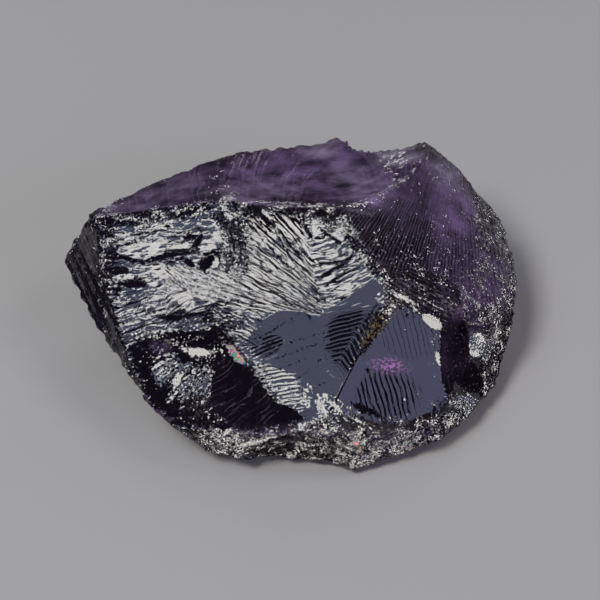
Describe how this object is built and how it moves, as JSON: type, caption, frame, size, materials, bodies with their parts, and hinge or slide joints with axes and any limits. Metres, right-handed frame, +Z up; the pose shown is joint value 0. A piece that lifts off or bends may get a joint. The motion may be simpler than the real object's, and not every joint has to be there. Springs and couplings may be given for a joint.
{
  "type": "rough amethyst",
  "caption": "Rough chunk of broken purple quartz with glassy hollow fracture faces that meet in sharp ridges, and a crushed, rougher rim. It lies on a flat face.",
  "frame": {"origin": "on the table under the middle of the stone's bounding box", "axes": "+Z up from the resting face, +X along the stone's length towards its blunt end, +Y towards the back of the picture"},
  "size_m": [0.0513, 0.0429, 0.0202],
  "materials": {
    "amethyst": "broken natural quartz, glassy on the large fracture faces and crushed at the rim"
  },
  "bodies": {
    "root": {"amethyst": "amethyst"}
  },
  "joints": []
}
